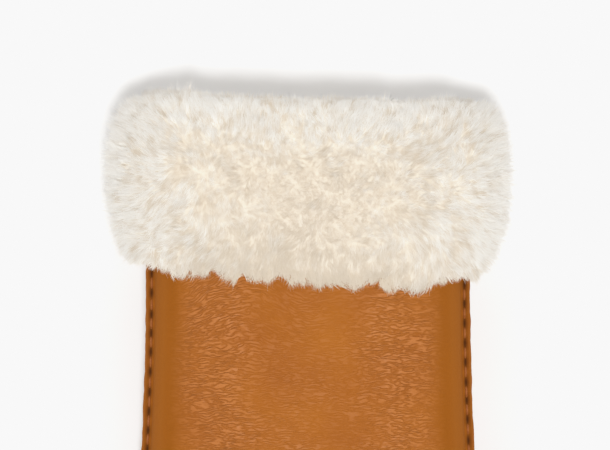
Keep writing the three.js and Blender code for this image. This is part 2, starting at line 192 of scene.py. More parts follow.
def noise(points, size, seed):
    """Smooth noise from about -1 to 1, whose bumps are size apart. points has x, y, z in its last axis."""
    scaled = np.asarray(points, float) / np.asarray(size, float)
    cell = np.floor(scaled).astype(np.int64)
    part = scaled - cell
    weight = part ** 3 * (part * (part * 6 - 15) + 10)
    total = np.zeros(scaled.shape[:-1])
    for corner in np.ndindex(2, 2, 2):
        mixed = np.bitwise_xor.reduce((cell + corner) * CELL_MIX, axis=-1) ^ (seed * SEED_MIX)
        for shift, factor in MIXING:
            mixed = ((mixed ^ (mixed >> shift)) * factor) & 0xFFFFFFFF
        gradient = GRADIENTS[(mixed >> 7) % len(GRADIENTS)]
        near = np.where(corner, weight, 1 - weight).prod(-1)
        total += near * ((part - corner) * gradient).sum(-1)
    return total * 1.4


def flat_noise(x, y, size, seed):
    return noise(np.stack([x, y, np.full_like(x, 0.37)], -1), (*np.broadcast_to(size, 2), 1.0), seed)


def unit(vectors):
    return vectors / (np.linalg.norm(vectors, axis=-1, keepdims=True) + 1e-12)


def make_piece(name, points, faces, material, replaced=(), attributes=None):
    """Mesh piece from points in millimetres, riding on the one body of the mitten."""
    mesh = bpy.data.meshes.new(name)
    faces = faces if isinstance(faces, list) else faces.tolist()
    mesh.from_pydata((np.asarray(points) * MM).tolist(), [], faces)
    mesh.polygons.foreach_set("use_smooth", np.ones(len(mesh.polygons), bool))
    for key, values in (attributes or {}).items():
        mesh.attributes.new(key, "FLOAT", "POINT").data.foreach_set("value", np.asarray(values, np.float32))
    mesh.materials.append(material)
    piece = bpy.data.objects.new(name, mesh)
    bpy.context.scene.collection.objects.link(piece)
    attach(piece, "root")
    if replaced:
        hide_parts(*replaced)
    return piece


# Plan of the leather

def side_point(y):
    return np.array([half_width(y), y])


def bezier(a, b, c, t):
    return (1 - t) ** 2 * a + 2 * t * (1 - t) * b + t * t * c


ROOT_START = side_point(THUMB_ROOT_Y + THUMB_ROOT_ROUND)
ROOT_END = THUMB_ROOT + THUMB_AXIS * THUMB_ROOT_ROUND
CROTCH_START = CROTCH + THUMB_AXIS * CROTCH_ROUND
CROTCH_END = side_point(CROTCH_Y - CROTCH_ROUND)
EDGE_STEPS = np.array([0.0, 0.25, 0.6, 1.1, 1.6, 2.0, 2.35, 2.7, 3.0, 3.3, 3.7])
OVAL_POWER = 2 / FINGER_FULLNESS


def finger_rim(angle):
    """Edge of the fingers' round end; angle runs from the thumb side over the tip."""
    sideways, down = math.cos(angle), abs(math.sin(angle))
    width = half_width(TIP_CENTRE_Y) * math.copysign(abs(sideways) ** OVAL_POWER, sideways)
    return np.array([width, TIP_CENTRE_Y - FINGER_ROUND * down ** OVAL_POWER])


def thumb_rim(angle):
    """Edge of the thumb's round end; from pi to twice pi the angle runs from the crotch over the tip."""
    return THUMB_TIP + THUMB_RADIUS * (THUMB_ACROSS * math.cos(angle) - THUMB_AXIS * math.sin(angle))


def from_rim(count, length):
    """Distances from the rim to the middle, dense at the seam."""
    start = EDGE_STEPS[-1]
    rest = start + (length - start) * (np.arange(1, count + 1) / count) ** 1.3
    return np.concatenate([EDGE_STEPS, rest])


class Plan:
    """Points of the leather seen from above, in strips from the rim inward that share their borders."""

    def __init__(self, wave_seed):
        self.wave_seed = wave_seed
        self.points, self.depths, self.faces, self.known = [], [], [], {}

    def strip(self, rim, middle, count):
        length = np.linalg.norm(middle - rim)
        inward = (middle - rim) / length
        distance = from_rim(count, length)
        place = np.array([rim[0], rim[1], 0.5])
        wave = 0.3 * noise(place, 9.0, self.wave_seed) + 0.12 * noise(place, 3.5, self.wave_seed)
        moved = distance + wave * np.clip(1 - distance / FLANGE, 0, 1)
        return [(rim + inward * step, near) for step, near in zip(moved, distance)]

    def across(self, one, other, count):
        middle = (one + other) / 2
        return self.strip(one, middle, count) + self.strip(other, middle, count)[-2::-1]

    def corner(self, point, depth):
        key = (round(point[0], 3), round(point[1], 3))
        if key not in self.known:
            self.known[key] = len(self.points)
            self.points.append(point)
            self.depths.append(depth)
        return self.known[key]

    def grid(self, strips):
        index = [[self.corner(*spot) for spot in strip] for strip in strips]
        for one, two in zip(index, index[1:]):
            for a, b, c, d in zip(one, one[1:], two[1:], two):
                face = list(dict.fromkeys([a, b, c, d]))
                if len(face) > 2:
                    spots = [self.points[k] for k in face]
                    area = sum(p[0] * q[1] - p[1] * q[0] for p, q in zip(spots, spots[1:] + spots[:1]))
                    self.faces.append(face if area > 0 else face[::-1])


def leather_plan(detail, wave_seed):
    plan = Plan(wave_seed)
    body = round(46 * detail)
    thumb = round(24 * detail)

    def run(start, stop, spacing):
        return np.linspace(start, stop, max(2, round(abs(start - stop) * detail / spacing) + 1))

    chord_low = bezier(CROTCH_START, CROTCH, CROTCH_END, 0.5)
    chord_high = bezier(ROOT_START, THUMB_ROOT, ROOT_END, 0.5)
    chord = plan.across(chord_low, chord_high, thumb)
    ends = [side_point(y) for y in run(MOUTH_Y, HEM_Y + 4, 3.5)]
    ends += [side_point(y) for y in run(HEM_Y + 4, ROOT_START[1], 0.5)[1:]]
    ends += [bezier(ROOT_START, THUMB_ROOT, ROOT_END, t) for t in np.linspace(0, 0.5, 8)[1:-1]]
    fillet_low = [bezier(CROTCH_START, CROTCH, CROTCH_END, t) for t in np.linspace(0.5, 1, 6)[1:]]
    below = [side_point(y) for y in run(CROTCH_END[1], TIP_CENTRE_Y, 1.2)[1:]]

    def middle(y):
        return np.array([0.0, y])

    right = [plan.strip(end, middle(end[1]), body) for end in ends]
    span = from_rim(body, half_width(0))
    span = span / span[-1]
    far_from_seam = 99.0
    for spot, depth in reversed(chord):
        right.append([(spot + (middle(spot[1]) - spot) * t, max(depth, far_from_seam * (t > 0))) for t in span])
    right += [plan.strip(end, middle(end[1]), body) for end in fillet_low + below]
    left = [plan.strip(side_point(row[-1][0][1]) * (-1, 1), row[-1][0], body) for row in right]
    plan.grid(right)
    plan.grid(left)

    centre = middle(TIP_CENTRE_Y)
    turns = np.linspace(0, math.pi, round(110 * detail) + 1)
    plan.grid([plan.strip(finger_rim(angle), centre, body) for angle in turns])

    thumb_in = THUMB_TIP - THUMB_ACROSS * THUMB_RADIUS
    thumb_out = THUMB_TIP + THUMB_ACROSS * THUMB_RADIUS
    steps = np.linspace(0, 1, round(34 * detail) + 1)
    bands = [plan.across(CROTCH_START + (thumb_in - CROTCH_START) * t,
                         ROOT_END + (thumb_out - ROOT_END) * t, thumb) for t in steps]
    plan.grid([chord] + bands)
    turns = np.linspace(math.pi, 2 * math.pi, round(46 * detail) + 1)
    plan.grid([plan.strip(thumb_rim(angle), THUMB_TIP, thumb) for angle in turns])
    return plan


# Leather

def outline(step=0.5):
    """The leather's outer edge, from the mouth's left end round the fingers and thumb to its right end."""
    rows = np.arange(MOUTH_Y - 2, TIP_CENTRE_Y, -step)
    points = [(-half_width(y), y) for y in rows]
    points += [finger_rim(angle) for angle in np.linspace(math.pi, 0, 400)]
    points += [side_point(y) for y in np.arange(TIP_CENTRE_Y, CROTCH_END[1], step)]
    points += [bezier(CROTCH_END, CROTCH, CROTCH_START, t) for t in np.linspace(0, 1, 24)]
    points += [thumb_rim(angle) for angle in np.linspace(math.pi, 2 * math.pi, 150)]
    points += [bezier(ROOT_END, THUMB_ROOT, ROOT_START, t) for t in np.linspace(0, 1, 40)]
    points += [side_point(y) for y in np.arange(ROOT_START[1], MOUTH_Y - 2, step)]
    points = np.array(points)
    length = np.concatenate([[0], np.cumsum(np.hypot(*np.diff(points, axis=0).T))])
    even = np.arange(0, length[-1], step)
    return np.stack([np.interp(even, length, points[:, 0]), np.interp(even, length, points[:, 1])], -1), even


STITCH_PITCH = 6.6
STITCH_SHOWN = 3.7
STITCH_INSET = 1.95
THREAD = 0.8
EDGE_LINE, EDGE_LENGTH = outline()
EDGE_TANGENT = unit(np.gradient(EDGE_LINE, axis=0))
SEAM_LINE = EDGE_LINE + STITCH_INSET * np.stack([-EDGE_TANGENT[:, 1], EDGE_TANGENT[:, 0]], -1)


def seam_spot(distance):
    return np.stack([np.interp(distance, EDGE_LENGTH, SEAM_LINE[:, k]) for k in (0, 1)], -1)


STITCH_STARTS = np.arange(1.0, EDGE_LENGTH[-1] - STITCH_PITCH, STITCH_PITCH)
STITCH_STARTS = STITCH_STARTS + np.random.default_rng(SEED).uniform(-0.35, 0.35, len(STITCH_STARTS))
DIVES = STITCH_STARTS + (STITCH_SHOWN + STITCH_PITCH) / 2
HOLES = seam_spot(DIVES)
HOLE_WAYS = unit(seam_spot(DIVES + 0.5) - seam_spot(DIVES - 0.5))
PIT_LENGTH = 2.6
PIT_WIDTH = 0.7


def pits(x, y, near):
    """How deep each spot lies in one of the long pits where the thread dives, from 0 to 1."""
    depth = np.zeros_like(x)
    close = np.flatnonzero((near > 0.4) & (near < 4.2))
    for part in np.array_split(close, 24):
        gap_x, gap_y = x[part, None] - HOLES[:, 0], y[part, None] - HOLES[:, 1]
        along = gap_x * HOLE_WAYS[:, 0] + gap_y * HOLE_WAYS[:, 1]
        across = gap_x * HOLE_WAYS[:, 1] - gap_y * HOLE_WAYS[:, 0]
        depth[part] = np.exp(-((along / PIT_LENGTH) ** 2 + (across / PIT_WIDTH) ** 2)).max(1)
    return depth


# Creases of the leather: height, length, width, slant and the seed of their noise
CREASES = ((0.2, 8.0, 2.2, 0.0, 31), (0.13, 5.0, 1.4, 0.12, 32), (0.13, 7.0, 2.8, -0.3, 33),
           (0.16, 24.0, 5.0, 0.05, 34))


def wrinkle_field(x, y):
    """Creases of the soft leather in millimetres: long across the hand and short along it."""
    warp = 2.2 * flat_noise(x, y, 15.0, 21) + 0.8 * flat_noise(x, y, 5.0, 22)
    fan = 0.45 * smooth(y, HEM_Y - 32, HEM_Y) * (np.clip(-x / 34, -1, 1) + 0.6 * np.exp(-((x - 4) / 9) ** 2))
    total = np.zeros_like(x)
    for amount, length, width, turn, seed in CREASES:
        along = y + warp - (fan + turn) * x
        ridge = 1 - np.abs(flat_noise(x + 0.3 * along, along, (length, width), seed)) * 2.4
        total += amount * np.clip(ridge, -0.6, 1)
    shoulders = np.exp(-((np.abs(x) - 31) / 15) ** 2)
    return total * (0.35 + 0.75 * shoulders + 0.3 * flat_noise(x, y, 20.0, 35))


def creased(x, y, near):
    """How strongly the leather is creased, from 0 to 1: most on the shoulders, not beside the seam."""
    shoulders = np.exp(-((np.abs(x) - 31) / 14) ** 2)
    patches = 0.5 + 1.1 * flat_noise(x, y, 17.0, 36)
    return np.clip(0.34 + 0.66 * shoulders + 0.35 * (patches - 0.5), 0.2, 1) * smooth(near, 7.0, 16.0)


def draped(x, y):
    """How far the creases are carried up the hand, in metres.

    They fan out below the cuff's left corner and below its middle.
    """
    below_cuff = smooth(y, HEM_Y - 30, HEM_Y - 4)
    left = -0.5 * (x + 36) * np.exp(-((x + 36) / 14) ** 2)
    middle = 0.5 * (x + 8) * np.exp(-((x + 8) / 12) ** 2)
    return (left + middle) * below_cuff * MM


def soft_dents(x, y):
    """Slack of the leather over the pile."""
    slow = 0.7 * flat_noise(x, y, (36.0, 26.0), 41) + 0.22 * flat_noise(x, y, (15.0, 10.0), 42)
    root = np.hypot(x - THUMB_ROOT[0] + 12, (y - THUMB_ROOT[1] + 30) * 0.6)
    folds = 0.55 * np.sin((x * 0.55 + y * 0.8) / 3.4 + 2.0 * flat_noise(x, y, 20.0, 43))
    return slow + folds * np.exp(-(root / 26) ** 2)


def leather_piece(name, detail, is_back, seed, material, node):
    plan = leather_plan(detail, seed)
    spots = np.array(plan.points)
    near = np.array(plan.depths)
    x, y = spots[:, 0], spots[:, 1]
    sign = 1 if is_back else -1
    form = back_rise if is_back else sole_fall
    settle = smooth(near, 3.0, 12.0)
    # the palm's creases are those of a place 300 mm further on, so that they differ from the back's
    relief = settle * (wrinkle_field(x, y if is_back else y + 300) + soft_dents(x, y))
    if not is_back:
        relief = np.minimum(relief, 0) * (placed(SOLE, y) < 0.5) + relief * (placed(SOLE, y) >= 0.5)
    rounding = 0.55 * np.clip(1 - near / 0.6, 0, 1) ** 2
    pit = pits(x, y, near)
    sunk = 0.8 * pit + 0.12 * np.exp(-((near - STITCH_INSET) / 0.8) ** 2)
    ripple = 0.22 * flat_noise(x, y, 11.0, seed + 3) * np.clip(1 - near / 3.5, 0, 1)
    height = form(x, y, FLANGE, 0.0)
    outer = placed(SEAM, y) + sign * (WALL + height + relief * np.clip(height, 0, 1) - rounding - sunk)
    inner = placed(SEAM, y) + sign * (SEAM_GAP / 2 + form(x, y, FLANGE + LEATHER, 0.0))
    inner += sign * settle * np.clip(soft_dents(x, y), -1, 0) * np.clip(height, 0, 1)
    outer, inner = outer + ripple, inner + ripple
    inner = np.where(sign * (outer - inner) < 0.3, outer - sign * 0.3, inner)
    outer = outer if is_back else np.maximum(outer, 0.0)
    count = len(x)
    points = np.concatenate([np.column_stack([x, y, outer]), np.column_stack([x, y, inner])])
    directed = dict.fromkeys(way for face in plan.faces for way in zip(face, face[1:] + face[:1]))
    walls = [[b, a, a + count, b + count] for a, b in directed if (b, a) not in directed]
    faces = plan.faces + [[count + k for k in reversed(face)] for face in plan.faces] + walls
    if not is_back:
        faces = [face[::-1] for face in faces]
    fields = {"edge": near, "pit": pit, "creased": creased(x, y, near), "drape": draped(x, y)}
    fields = {key: np.tile(values, 2) for key, values in fields.items()}
    return make_piece(name, points, faces, material, [node], fields)


def thread_piece(name, is_back, material):
    """The outseam's thick thread, one short bent bar for each stitch that shows."""
    sign = 1 if is_back else -1
    starts = STITCH_STARTS if is_back else STITCH_STARTS[:-1] + STITCH_SHOWN
    shown = STITCH_SHOWN if is_back else STITCH_PITCH - STITCH_SHOWN
    rings, sides = 9, 8
    t = np.linspace(0, 1, rings)
    bow = np.sin(math.pi * t) ** 0.5
    radius = THREAD / 2 * (0.55 + 0.45 * bow)
    points, faces = [], []
    for start in starts:
        spots = seam_spot(start + shown * t)
        tangent = unit(spots[-1] - spots[0])
        across = np.array([-tangent[1], tangent[0], 0])
        height = placed(SEAM, spots[:, 1]) + sign * (WALL - 0.75 + 0.6 * bow)
        base = len(points)
        for spot, z, r in zip(spots, height, radius):
            for k in range(sides):
                turn = 2 * math.pi * k / sides
                outward = math.cos(turn) * across + math.sin(turn) * np.array([0, 0, 1])
                points.append(np.array([*spot, z]) + r * outward)
        for i in range(rings - 1):
            for k in range(sides):
                a, b = base + i * sides + k, base + i * sides + (k + 1) % sides
                faces.append([a, a + sides, b + sides, b])
        faces.append([base + k for k in range(sides)])
        faces.append([base + (rings - 1) * sides + k for k in reversed(range(sides))])
    return make_piece(name, points, faces, material)


# Wool

def fur_point(along, around, out):
    """Point of the wool's outer form; around runs from the thumb side over the back."""
    power = 2 / FUR_FULLNESS
    up = np.sin(around) >= 0
    height = np.where(up, WRIST_CROWN, WRIST_SEAM - CUFF_LIFT)

    def reach(value):
        return np.sign(value) * np.abs(value) ** power

    return np.stack([
        (WRIST_WIDTH / 2 + FUR_SIDE * out) * reach(np.cos(around)),
        HEM_Y + along * CUFF_HEIGHT,
        WRIST_SEAM + (height + FUR_TOP * out) * reach(np.sin(around)),
    ], -1)


def fur_out(along):
    return np.interp(along, FUR_PROFILE[:, 0], FUR_PROFILE[:, 1])


def fur_surface(along, around):
    return fur_point(along, around, fur_out(along))


def fur_normal(along, around):
    tiny = 1e-3
    one = fur_surface(along + tiny, around) - fur_surface(along - tiny, around)
    two = fur_surface(along, around + tiny) - fur_surface(along, around - tiny)
    normal = unit(np.cross(two, one))
    outward = fur_surface(along, around) - CUFF_CENTRE
    return normal * np.where((normal * outward).sum(-1) < 0, -1, 1)[..., None]


def all_partings():
    """Small partings of the pile, from which the locks lie away: x, y, z, strength and radius in rows.

    The first ones are where the photograph shows them, and the rest are strewn over the whole cuff.
    """
    # x, y and strength
    shown = np.array([(-43.5, 153.0, 1.0), (-35.0, 142.0, 1.0), (0.8, 155.5, 0.9), (-41.0, 161.5, 0.7),
                      (30.5, 139.0, 0.6), (55.0, 156.5, 0.6), (-20.0, 152.5, 0.7), (-26.5, 126.0, 0.5),
                      (14.0, 140.0, 0.4), (40.0, 150.0, 0.5)])
    more = 150
    along = (shown[:, 1] - HEM_Y) / CUFF_HEIGHT
    reach = shown[:, 0] / (WRIST_WIDTH / 2 + FUR_SIDE * fur_out(along))
    around = np.arccos(np.sign(reach) * np.abs(reach) ** (FUR_FULLNESS / 2))
    random = np.random.default_rng(SEED + 4)
    along = np.append(along, random.uniform(0.12, 1.0, more))
    around = np.append(around, random.uniform(0, 2 * math.pi, more))
    strength = np.append(shown[:, 2], random.uniform(0.1, 0.4, more))
    return np.column_stack([fur_surface(along, around), strength, 1.4 + 1.2 * strength])


PARTINGS = all_partings()


def parted(points):
    """How far each place lies inside a parting, from 0 to 1."""
    deep = np.zeros(len(points))
    for *spot, strength, radius in PARTINGS:
        far = ((points - np.array(spot)) ** 2).sum(-1)
        deep = np.maximum(deep, strength * np.exp(-far / radius ** 2))
    return deep


def lay_of(points, normals):
    """Direction in which the wool leans at each place, along the surface."""
    lay = (points - CUFF_CENTRE) * np.array([0.008, 0.016, 0.004])
    for *spot, strength, radius in PARTINGS:
        away = points - np.array(spot)
        far = np.linalg.norm(away, axis=-1)
        lay += (strength * np.exp(-far / (3.2 * radius)) / (far + 1.5))[:, None] * away
    for axis in range(3):
        lay[:, axis] += 0.55 * noise(points, 14.0, 51 + axis) + 0.5 * noise(points, 6.0, 61 + axis)
    lay -= (lay * normals).sum(-1)[:, None] * normals
    size = np.linalg.norm(lay, axis=-1)[:, None]
    return lay / np.maximum(1.0, size)


# Hem of the pile on the leather, as it lies: x and y
HEM_LINE = np.array([(-56, 121.5), (-52, 120.3), (-46, 117.2), (-39, 117.3), (-32, 119.0), (-25.5, 114.8),
                     (-22, 117.8), (-18, 114.5), (-12, 115.1), (-8.5, 116.6), (-3, 114.0), (5, 113.7),
                     (9, 112.9), (12, 113.8), (18, 112.9), (25, 114.8), (29, 111.6), (32, 112.2),
                     (37, 110.7), (42, 113.9), (49, 115.1), (54, 116.8)])


def hem_shift(x, along, around):
    """How far the pile's edge lies from the straight hem: on the back as photographed, fading up the cuff."""
    ragged = np.interp(x, HEM_LINE[:, 0], HEM_LINE[:, 1]) + 0.8 * flat_noise(x, 0 * x, 4.0, 75) - HEM_Y
    palm_side = ragged * smooth(np.abs(x), 38.0, 50.0)
    return np.where(np.sin(around) > 0, ragged, palm_side) * np.clip(1 - along / 0.22, 0, 1.3)


# How far the pile's end at the mouth reaches past its plain form: x and the reach
LIP_LINE = np.array([(-62, -1.0), (-50, 1.2), (-38, 1.2), (-30, -0.4), (0, -1.3), (20, -1.5), (31, -2.6),
                     (38, -2.4), (45, -1.5), (54, -2.0), (62, -1.5)])


def lip_shift(x, along):
    return np.interp(x, LIP_LINE[:, 0], LIP_LINE[:, 1]) * smooth(along, 0.7, 1.0)


def strewn(count, random):
    """Places spread evenly over the cuff's surface, as shares along it and angles around it."""
    steps = np.linspace(-0.005, FUR_PROFILE[-1, 0] + 0.01, 300)
    turns = np.linspace(0, 2 * math.pi, 721)
    down = fur_surface(steps, np.full_like(steps, math.pi / 2))
    ring = fur_point(np.full_like(turns, 0.5), turns, np.full_like(turns, 1.0))
    places = []
    for line, shares_of_it in ((down, steps), (ring, turns)):
        length = np.append(0, np.linalg.norm(np.diff(line, axis=0), axis=-1).cumsum())
        places.append(np.interp(random.uniform(0, length[-1], count), length, shares_of_it))
    return places


LOCKS = 2600
LOCK_RADIUS = 3.2
lock_random = np.random.default_rng(SEED + 2)
LOCK_ALONG, LOCK_AROUND = strewn(LOCKS, lock_random)
LOCK_POINTS = fur_surface(LOCK_ALONG, LOCK_AROUND)
LOCK_LAY = lay_of(LOCK_POINTS, fur_normal(LOCK_ALONG, LOCK_AROUND)) + lock_random.normal(0, 0.14, (LOCKS, 3))
LOCK_HEIGHT = lock_random.normal(0, 0.2, LOCKS)
LOCK_SHADE = lock_random.uniform(0, 1, LOCKS)
LOCK_REACH = 3.6 * lock_random.uniform(0, 1, LOCKS) ** 2.5 - 1.0
LOCK_TREE = KDTree(LOCKS)
for number, spot in enumerate(LOCK_POINTS.tolist()):
    LOCK_TREE.insert(spot, number)
LOCK_TREE.balance()


def lock_at(points):
    """Number of the nearest lock, the way from its middle, and its roundness there from 0 to 1."""
    nearest = np.array([LOCK_TREE.find(point)[1] for point in points.tolist()])
    offset = points - LOCK_POINTS[nearest]
    return nearest, offset, np.clip(1 - (offset ** 2).sum(-1) / LOCK_RADIUS ** 2, 0, 1)


def pile_height(points, along):
    """How far the matted pile stands over the cuff's plain form, in millimetres."""
    nearest, _, dome = lock_at(points)
    bumps = 0.55 * noise(points, 6.5, 71) + 0.3 * noise(points, 2.6, 72)
    full = np.clip(fur_out(along) * 1.6 + 0.1, 0.1, 1)
    return (0.35 * dome + LOCK_HEIGHT[nearest] + bumps - 2.6 * parted(points) - 1.7) * full


def lit_softly(normals):
    """Normals tipped towards the sky: the light that falls on a pile goes through it and round its flanks."""
    return unit(normals + 0.75 * np.clip(1.4 + normals[:, 2:], 0, 1) * np.array([0, 0, 1]))


def wool_core(material):
    """Matted wool, the ground that the strands stand in."""
    around = np.linspace(0, 2 * math.pi, 460, endpoint=False)
    along = np.concatenate([np.linspace(0.0, 1.0, 120), np.linspace(1.0, FUR_PROFILE[-1, 0], 14)[1:]])
    rows = []
    for share in along:
        steady = np.full_like(around, share)
        point = fur_surface(steady, around)
        normal = fur_normal(steady, around)
        point[:, 1] += hem_shift(point[:, 0], steady, around) + 3.4 * np.clip(1 - share / 0.1, 0, 1)
        point[:, 1] += lip_shift(point[:, 0], share)
        rows.append(point + normal * pile_height(point, steady)[:, None])
    # the mouth's lip turns in over the leather's edge and ends against the lining
    lining = lining_section(around, MOUTH_Y - 2.0, 0.6)
    rows.append(rows[-1] * 0.45 + (lining + np.array([0, FUR_LIP + 1.0, 0])) * 0.55)
    rows.append(lining + np.array([0, 1.5, 0]))
    # the skin side, against the leather at the hem
    under = leather_section(around, HEM_Y + 3.0, 0.45)
    under[:, 1] = HEM_Y + 4.5 + hem_shift(under[:, 0], 0 * around, around)
    rows.insert(0, under)
    rows.insert(0, leather_section(around, HEM_Y + 12.0, 0.5))
    points = np.array(rows)
    points[..., 2] = np.maximum(points[..., 2], 0.35)
    count = len(around)
    first = np.arange(len(rows) - 1)[:, None] * count
    here, beside = first + np.arange(count), first + (np.arange(count) + 1) % count
    faces = np.stack([here, beside, beside + count, here + count], -1).reshape(-1, 4)
    flat = points.reshape(-1, 3)
    # the ground is painted darker in the partings: painted shade where the pile parts
    piece = make_piece("cuff_wool_ground", flat, orient(flat, faces), material, ["fur_cuff"],
                       {"tip": 0.55 - 0.55 * parted(flat), "lock": np.full(len(flat), 0.5)})
    own = np.array([vert.normal for vert in piece.data.vertices])
    piece.data.normals_split_custom_set_from_vertices(lit_softly(own).tolist())
    return piece


def orient(points, faces):
    """Faces turned so that the middle one points away from the cuff's middle line."""
    faces = np.asarray(faces)
    middle = faces[len(faces) // 2]
    corner = points[middle]
    normal = np.cross(corner[1] - corner[0], corner[2] - corner[0])
    outward = corner.mean(0) - np.array([0, corner.mean(0)[1], WRIST_SEAM])
    return faces if (normal * outward).sum() > 0 else faces[:, ::-1]


def section(around, y, inset, edge, drop, gap=0.0):
    """Points of the mitten's section at y, inset from its sides; around starts at the thumb's side."""
    x = (half_width(y) - inset) * np.sign(np.cos(around)) * np.abs(np.cos(around)) ** 0.75
    steady = np.broadcast_to(y, x.shape)
    seam = placed(SEAM, steady)
    over = seam + gap + back_rise(x, steady, edge, drop)
    under = seam - gap - sole_fall(x, steady, edge, drop)
    return np.stack([x, steady, np.where(np.sin(around) >= 0, over, under)], -1)


def lining_section(around, y, sunk):
    """Points of the lining at y, sunk that far below the surface of its pile."""
    pile = LINING_PILE - sunk
    return section(around, y, LINING_EDGE + pile, LINING_EDGE + pile, LINING_GAP - SEAM_GAP / 2 + pile)


def leather_section(around, y, gap):
    """Points at that gap outside the leather at y."""
    return section(around, y, -gap, FLANGE - gap, 0.0, WALL + gap)


STRAND_WIDTH = 0.225
SOFTNESS = 0.8


def strands_piece(name, roots, tips, soft_normals, shade, random, material):
    """Wool fibres as slender three-sided spikes.

    Light scatters through a pile, so its fibres are shaded mostly as the soft surface that they make up.
    """
    count = len(roots)
    heading = unit(tips - roots)
    across = unit(np.cross(heading, soft_normals))
    above = np.cross(heading, across)
    radius = STRAND_WIDTH / 2 * random.uniform(0.7, 1.3, count)[:, None]
    start = random.uniform(0, 2 * math.pi, count)[:, None]
    points, shaded = np.empty((count, 4, 3)), np.empty((count, 4, 3))
    for corner in range(3):
        turn = start + 2 * math.pi * corner / 3
        sideways = np.cos(turn) * across + np.sin(turn) * above
        points[:, corner] = roots + radius * sideways
        shaded[:, corner] = SOFTNESS * soft_normals + (1 - SOFTNESS) * sideways
    points[:, 3], shaded[:, 3] = tips, soft_normals
    points[..., 2] = np.maximum(points[..., 2], 0.3)
    corners = np.array([(0, 1, 3), (1, 2, 3), (2, 0, 3), (2, 1, 0)])
    faces = (np.arange(count)[:, None, None] * 4 + corners).reshape(-1, 3)
    piece = make_piece(name, points.reshape(-1, 3), faces, material, (),
                       {"tip": np.tile([0.55, 0.55, 0.55, 1.0], count), "lock": np.repeat(shade, 4)})
    piece.data.normals_split_custom_set_from_vertices(unit(shaded).reshape(-1, 3).tolist())
    return piece


def cuff_wool(material, amount, pieces):
    """The cuff's pile: locks of short strands whose tips draw together."""
    random = np.random.default_rng(SEED + 3)
    along, around = strewn(amount, random)
    hidden = (np.sin(around) < -0.35) & (random.uniform(0, 1, amount) < 0.6)
    along, around = along[~hidden], around[~hidden]
    count = len(along)
    surface = fur_surface(along, around)
    surface[:, 1] += hem_shift(surface[:, 0], along, around) + lip_shift(surface[:, 0], along)
    normals = fur_normal(along, around)
    nearest, offset, dome = lock_at(surface)
    ground = surface + normals * pile_height(surface, along)[:, None]
    hem = smooth(along, 0.3, 0.0)
    lip = smooth(along, 0.9, 1.02)
    way = 0.35 * lay_of(surface, normals) + 0.65 * LOCK_LAY[nearest] + random.normal(0, 0.24, (count, 3))
    way[:, 1] += 0.1 * lip - 0.9 * hem
    way -= (way * normals).sum(-1)[:, None] * normals
    length = random.uniform(2.2, 4.0, count) * (1 + 0.35 * hem)
    full = np.clip(0.4 + fur_out(along) * 1.4, 0.4, 1)
    lift = (2.4 + 0.3 * dome + random.normal(0, 0.4, count)) * full
    # hollows in the pile, where the strands sink and are painted darker below, a painted shade
    pile_hollow = smooth(noise(surface, 2.6, 77), -0.25, -0.6)
    lift -= 0.9 * pile_hollow * full
    # the ends of the cuff are fluffed out
    lift *= 1 + 1.1 * smooth(np.abs(surface[:, 0]), 50.0, 64.0) * random.uniform(0, 1, count) ** 2
    roots = ground - normals * (0.9 * full)[:, None] - way * 0.5
    drawn_in = offset * ((0.2 + 0.6 * hem) * dome)[:, None]
    tips = ground + normals * lift[:, None] + way * length[:, None] - drawn_in
    top = np.sin(around) > 0
    wisp = LOCK_REACH[nearest] * np.sqrt(dome) * (LOCK_ALONG[nearest] < 0.2)
    ragged = 3.4 * random.uniform(0, 1, count) ** 0.7 - 0.2
    lowest = HEM_Y + hem_shift(tips[:, 0], 0 * along, around) - wisp + ragged
    tips[:, 1] = np.maximum(tips[:, 1], lowest)
    roots[:, 1] = np.where(top, np.maximum(roots[:, 1], lowest + 1.6), roots[:, 1])
    soft = unit(lit_softly(normals) + 0.12 * offset + 0.25 * way)
    tuft = noise(surface, 1.5, 76)
    # painted light: the strands are made lighter towards the cuff's ends and its mouth
    away = np.maximum(np.abs(surface[:, 0]) / 50 - 0.2, smooth(along, 0.55, 1.0))
    # the strands' tone: random for each lock and strand, with painted shade in the pile's hollows and partings,
    # the painted light above, and darker towards the hem
    shade = LOCK_SHADE[nearest] * 0.5 + random.uniform(0, 0.3, count) + 0.7 * tuft - 1.3 * pile_hollow - 0.55
    shade += 1.2 * away - 0.35 * hem - 1.0 * parted(surface)
    for number, part in enumerate(np.array_split(np.argsort(along), pieces)):
        name = f"cuff_wool_{number + 1}"
        strands_piece(name, roots[part], tips[part], soft[part], shade[part], random, material)


def hem_wisps(material, pitch, fibres):
    """Thin wisps below the cuff's hem, which let the leather show between them."""
    random = np.random.default_rng(SEED + 12)
    middle = np.arange(-51.0, 51.5, pitch)
    middle = np.concatenate([middle, middle]) + random.normal(0, 0.6, 2 * len(middle))
    side = np.repeat([1.0, -1.0], len(middle) // 2)
    reach = 0.8 + 3.0 * random.uniform(0, 1, len(middle)) ** 1.5
    spread, sway = random.uniform(0.6, 1.5, len(middle)), random.normal(0, 1.1, len(middle))
    wisps = middle, side, reach, spread, sway
    middle, side, reach, spread, sway = (np.repeat(part, fibres) for part in wisps)
    count = len(middle)
    offset = random.uniform(-1, 1, count)
    hem = HEM_Y + hem_shift(middle, 0 * middle, side * math.pi / 2)
    root_x = middle + spread * offset
    tip_x = middle + sway + 0.35 * spread * offset + random.normal(0, 0.25, count)
    root_y = hem + random.uniform(0.6, 3.4, count)
    tip_y = hem - reach * random.uniform(0.35, 1, count) + 0.3
    ends = []
    for x, y, low, high in ((root_x, root_y, 0.6, 1.8), (tip_x, tip_y, 0.3, 0.8)):
        above = random.uniform(low, high, count)
        skin = np.where(side > 0, back_rise(x, y, FLANGE, 0.0), -sole_fall(x, y, FLANGE, 0.0))
        ends.append(np.stack([x, y, placed(SEAM, y) + skin + side * above], -1))
    soft = lit_softly(np.stack([0 * side, -0.25 + 0 * side, side], -1))
    shade = random.uniform(0.5, 1.0, count)
    strands_piece("hem_wool_wisps", ends[0], ends[1], soft, shade, random, material)


